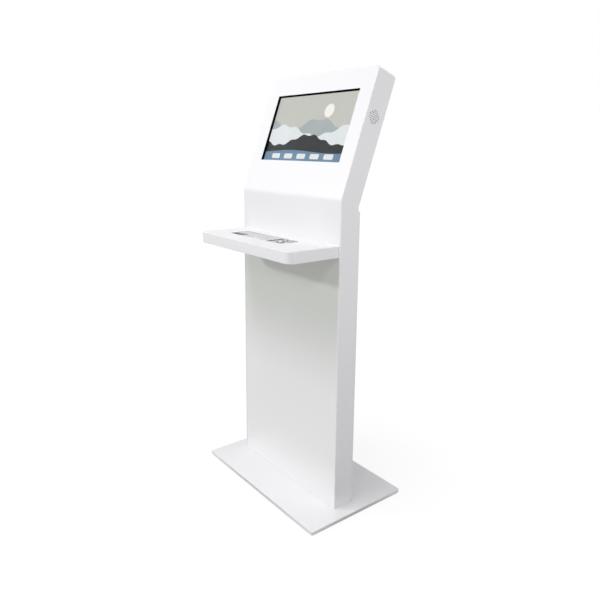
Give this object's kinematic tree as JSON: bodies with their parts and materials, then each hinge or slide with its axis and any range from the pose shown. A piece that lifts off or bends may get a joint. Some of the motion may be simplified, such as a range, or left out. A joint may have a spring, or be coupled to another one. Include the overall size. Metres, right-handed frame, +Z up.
{
  "type": "touchscreen kiosk",
  "caption": "Free-standing touchscreen kiosk: steel column on a flat base, leaning display head, keyboard shelf with trackball, hinged rear service door.",
  "frame": {"origin": "on the floor, under the middle of the base plate", "axes": "+Z up; the screen faces -Y; +X is to the right of a person in front of the screen"},
  "size_m": [0.72, 0.511, 1.6299],
  "materials": {
    "powder_coat": "satin white powder coat",
    "lower_panel_coat": "satin pale grey powder coat",
    "floor_rubber": "matt",
    "zinc_steel": "zinc plated",
    "lock_chrome": "polished",
    "key_steel": "fine brushed",
    "keyboard_box": "plain",
    "black_plastic": "matt",
    "ball_white": "gloss",
    "circuit_green": "lacquered board",
    "touch_glass": "clear",
    "gasket_foam": "foam",
    "lcd_black": "matt",
    "case_black": "fine texture",
    "strip_white": "satin",
    "switch_red": "gloss",
    "button_steel": "fine brushed",
    "cable_black": "matt"
  },
  "bodies": {
    "cabinet": {"base_plate": "powder_coat", "floor_mat": "floor_rubber", "cable_grommet": "floor_rubber", "foot_bracket_left": "zinc_steel", "foot_bracket_right": "zinc_steel", "foot_bolts": "zinc_steel", "side_panel_left": "powder_coat", "side_panel_right": "powder_coat", "front_upper_panel": "powder_coat", "front_lower_panel": "lower_panel_coat", "head_top_cap": "powder_coat", "head_back_cover": "powder_coat", "back_cover_screws": "zinc_steel", "back_crossbar": "powder_coat", "rear_plinth": "powder_coat", "hinge_leaves_fixed": "zinc_steel", "hinge_pins": "zinc_steel", "shelf_top": "powder_coat", "shelf_bottom": "powder_coat", "shelf_bracket_left": "zinc_steel", "shelf_bracket_right": "zinc_steel", "shelf_backing_bar": "zinc_steel", "shelf_bolts": "zinc_steel", "keyboard_cradle": "black_plastic", "keyboard_housing": "keyboard_box", "keyboard_circuit": "circuit_green", "keyboard_plate": "key_steel", "trackball_cup": "black_plastic", "trackball_ring": "black_plastic", "touch_glass": "touch_glass", "glass_gasket": "gasket_foam", "lcd_panel": "lcd_black", "lcd_brackets": "zinc_steel", "lcd_driver_board": "circuit_green", "speaker_left": "black_plastic", "speaker_right": "black_plastic", "fan_frame": "black_plastic", "equipment_plate": "zinc_steel", "mini_pc": "case_black", "power_supply": "case_black", "power_strip": "strip_white", "mains_inlet": "black_plastic", "internal_cables": "cable_black"},
    "rear_door": {"rear_door": "powder_coat", "door_stiffener": "zinc_steel", "hinge_leaves_door": "zinc_steel", "lock_housing": "lock_chrome"},
    "lock_cylinder": {"lock_cylinder": "lock_chrome"},
    "keys_row_1": {"keys_row_1": "key_steel"},
    "keys_row_2": {"keys_row_2": "key_steel"},
    "keys_row_3": {"keys_row_3": "key_steel"},
    "keys_row_4": {"keys_row_4": "key_steel"},
    "keys_row_5": {"keys_row_5": "key_steel"},
    "space_bar": {"space_bar": "key_steel"},
    "button_left": {"button_left": "key_steel"},
    "button_right": {"button_right": "key_steel"},
    "trackball": {"trackball": "ball_white"},
    "fan_rotor": {"fan_rotor": "black_plastic"},
    "pc_power_button": {"pc_power_button": "button_steel"},
    "strip_rocker": {"strip_rocker": "switch_red"}
  },
  "joints": [
    {"name": "rear_door_hinge", "type": "hinge", "parent": "cabinet", "child": "rear_door", "pos_m": [-0.31, 0.011, 0.63], "axis": [0, 0, 1], "range_deg": [0, 110]},
    {"name": "door_lock", "type": "hinge", "parent": "rear_door", "child": "lock_cylinder", "pos_m": [0.268, 0.015, 0.64], "axis": [0, -1, 0], "range_deg": [0, 90]},
    {"name": "keys_row_1_press", "type": "slide", "parent": "cabinet", "child": "keys_row_1", "axis": [0, 0, -1], "range_m": [0, 0.002], "stiffness_N_per_m": 2500, "springref_m": -0.002},
    {"name": "keys_row_2_press", "type": "slide", "parent": "cabinet", "child": "keys_row_2", "axis": [0, 0, -1], "range_m": [0, 0.002], "stiffness_N_per_m": 2500, "springref_m": -0.002},
    {"name": "keys_row_3_press", "type": "slide", "parent": "cabinet", "child": "keys_row_3", "axis": [0, 0, -1], "range_m": [0, 0.002], "stiffness_N_per_m": 2500, "springref_m": -0.002},
    {"name": "keys_row_4_press", "type": "slide", "parent": "cabinet", "child": "keys_row_4", "axis": [0, 0, -1], "range_m": [0, 0.002], "stiffness_N_per_m": 2500, "springref_m": -0.002},
    {"name": "keys_row_5_press", "type": "slide", "parent": "cabinet", "child": "keys_row_5", "axis": [0, 0, -1], "range_m": [0, 0.002], "stiffness_N_per_m": 2500, "springref_m": -0.002},
    {"name": "space_bar_press", "type": "slide", "parent": "cabinet", "child": "space_bar", "axis": [0, 0, -1], "range_m": [0, 0.002], "stiffness_N_per_m": 1200, "springref_m": -0.0015},
    {"name": "button_left_press", "type": "slide", "parent": "cabinet", "child": "button_left", "axis": [0, 0, -1], "range_m": [0, 0.002], "stiffness_N_per_m": 800, "springref_m": -0.001},
    {"name": "button_right_press", "type": "slide", "parent": "cabinet", "child": "button_right", "axis": [0, 0, -1], "range_m": [0, 0.002], "stiffness_N_per_m": 800, "springref_m": -0.001},
    {"name": "trackball_roll", "type": "hinge", "parent": "cabinet", "child": "trackball", "pos_m": [0.09425, -0.17246, 1.012], "axis": [1, 0, 0], "continuous": true},
    {"name": "fan_spin", "type": "hinge", "parent": "cabinet", "child": "fan_rotor", "pos_m": [0.15, 0.07855, 1.39351], "axis": [0, 0.9409, -0.3387], "continuous": true},
    {"name": "pc_power_press", "type": "slide", "parent": "cabinet", "child": "pc_power_button", "axis": [0, -1, 0], "range_m": [0, 0.002], "stiffness_N_per_m": 800},
    {"name": "strip_rocker_tilt", "type": "hinge", "parent": "cabinet", "child": "strip_rocker", "pos_m": [0.085, -0.019, 0.305], "axis": [-1, 0, 0], "range_deg": [0, 16]}
  ]
}
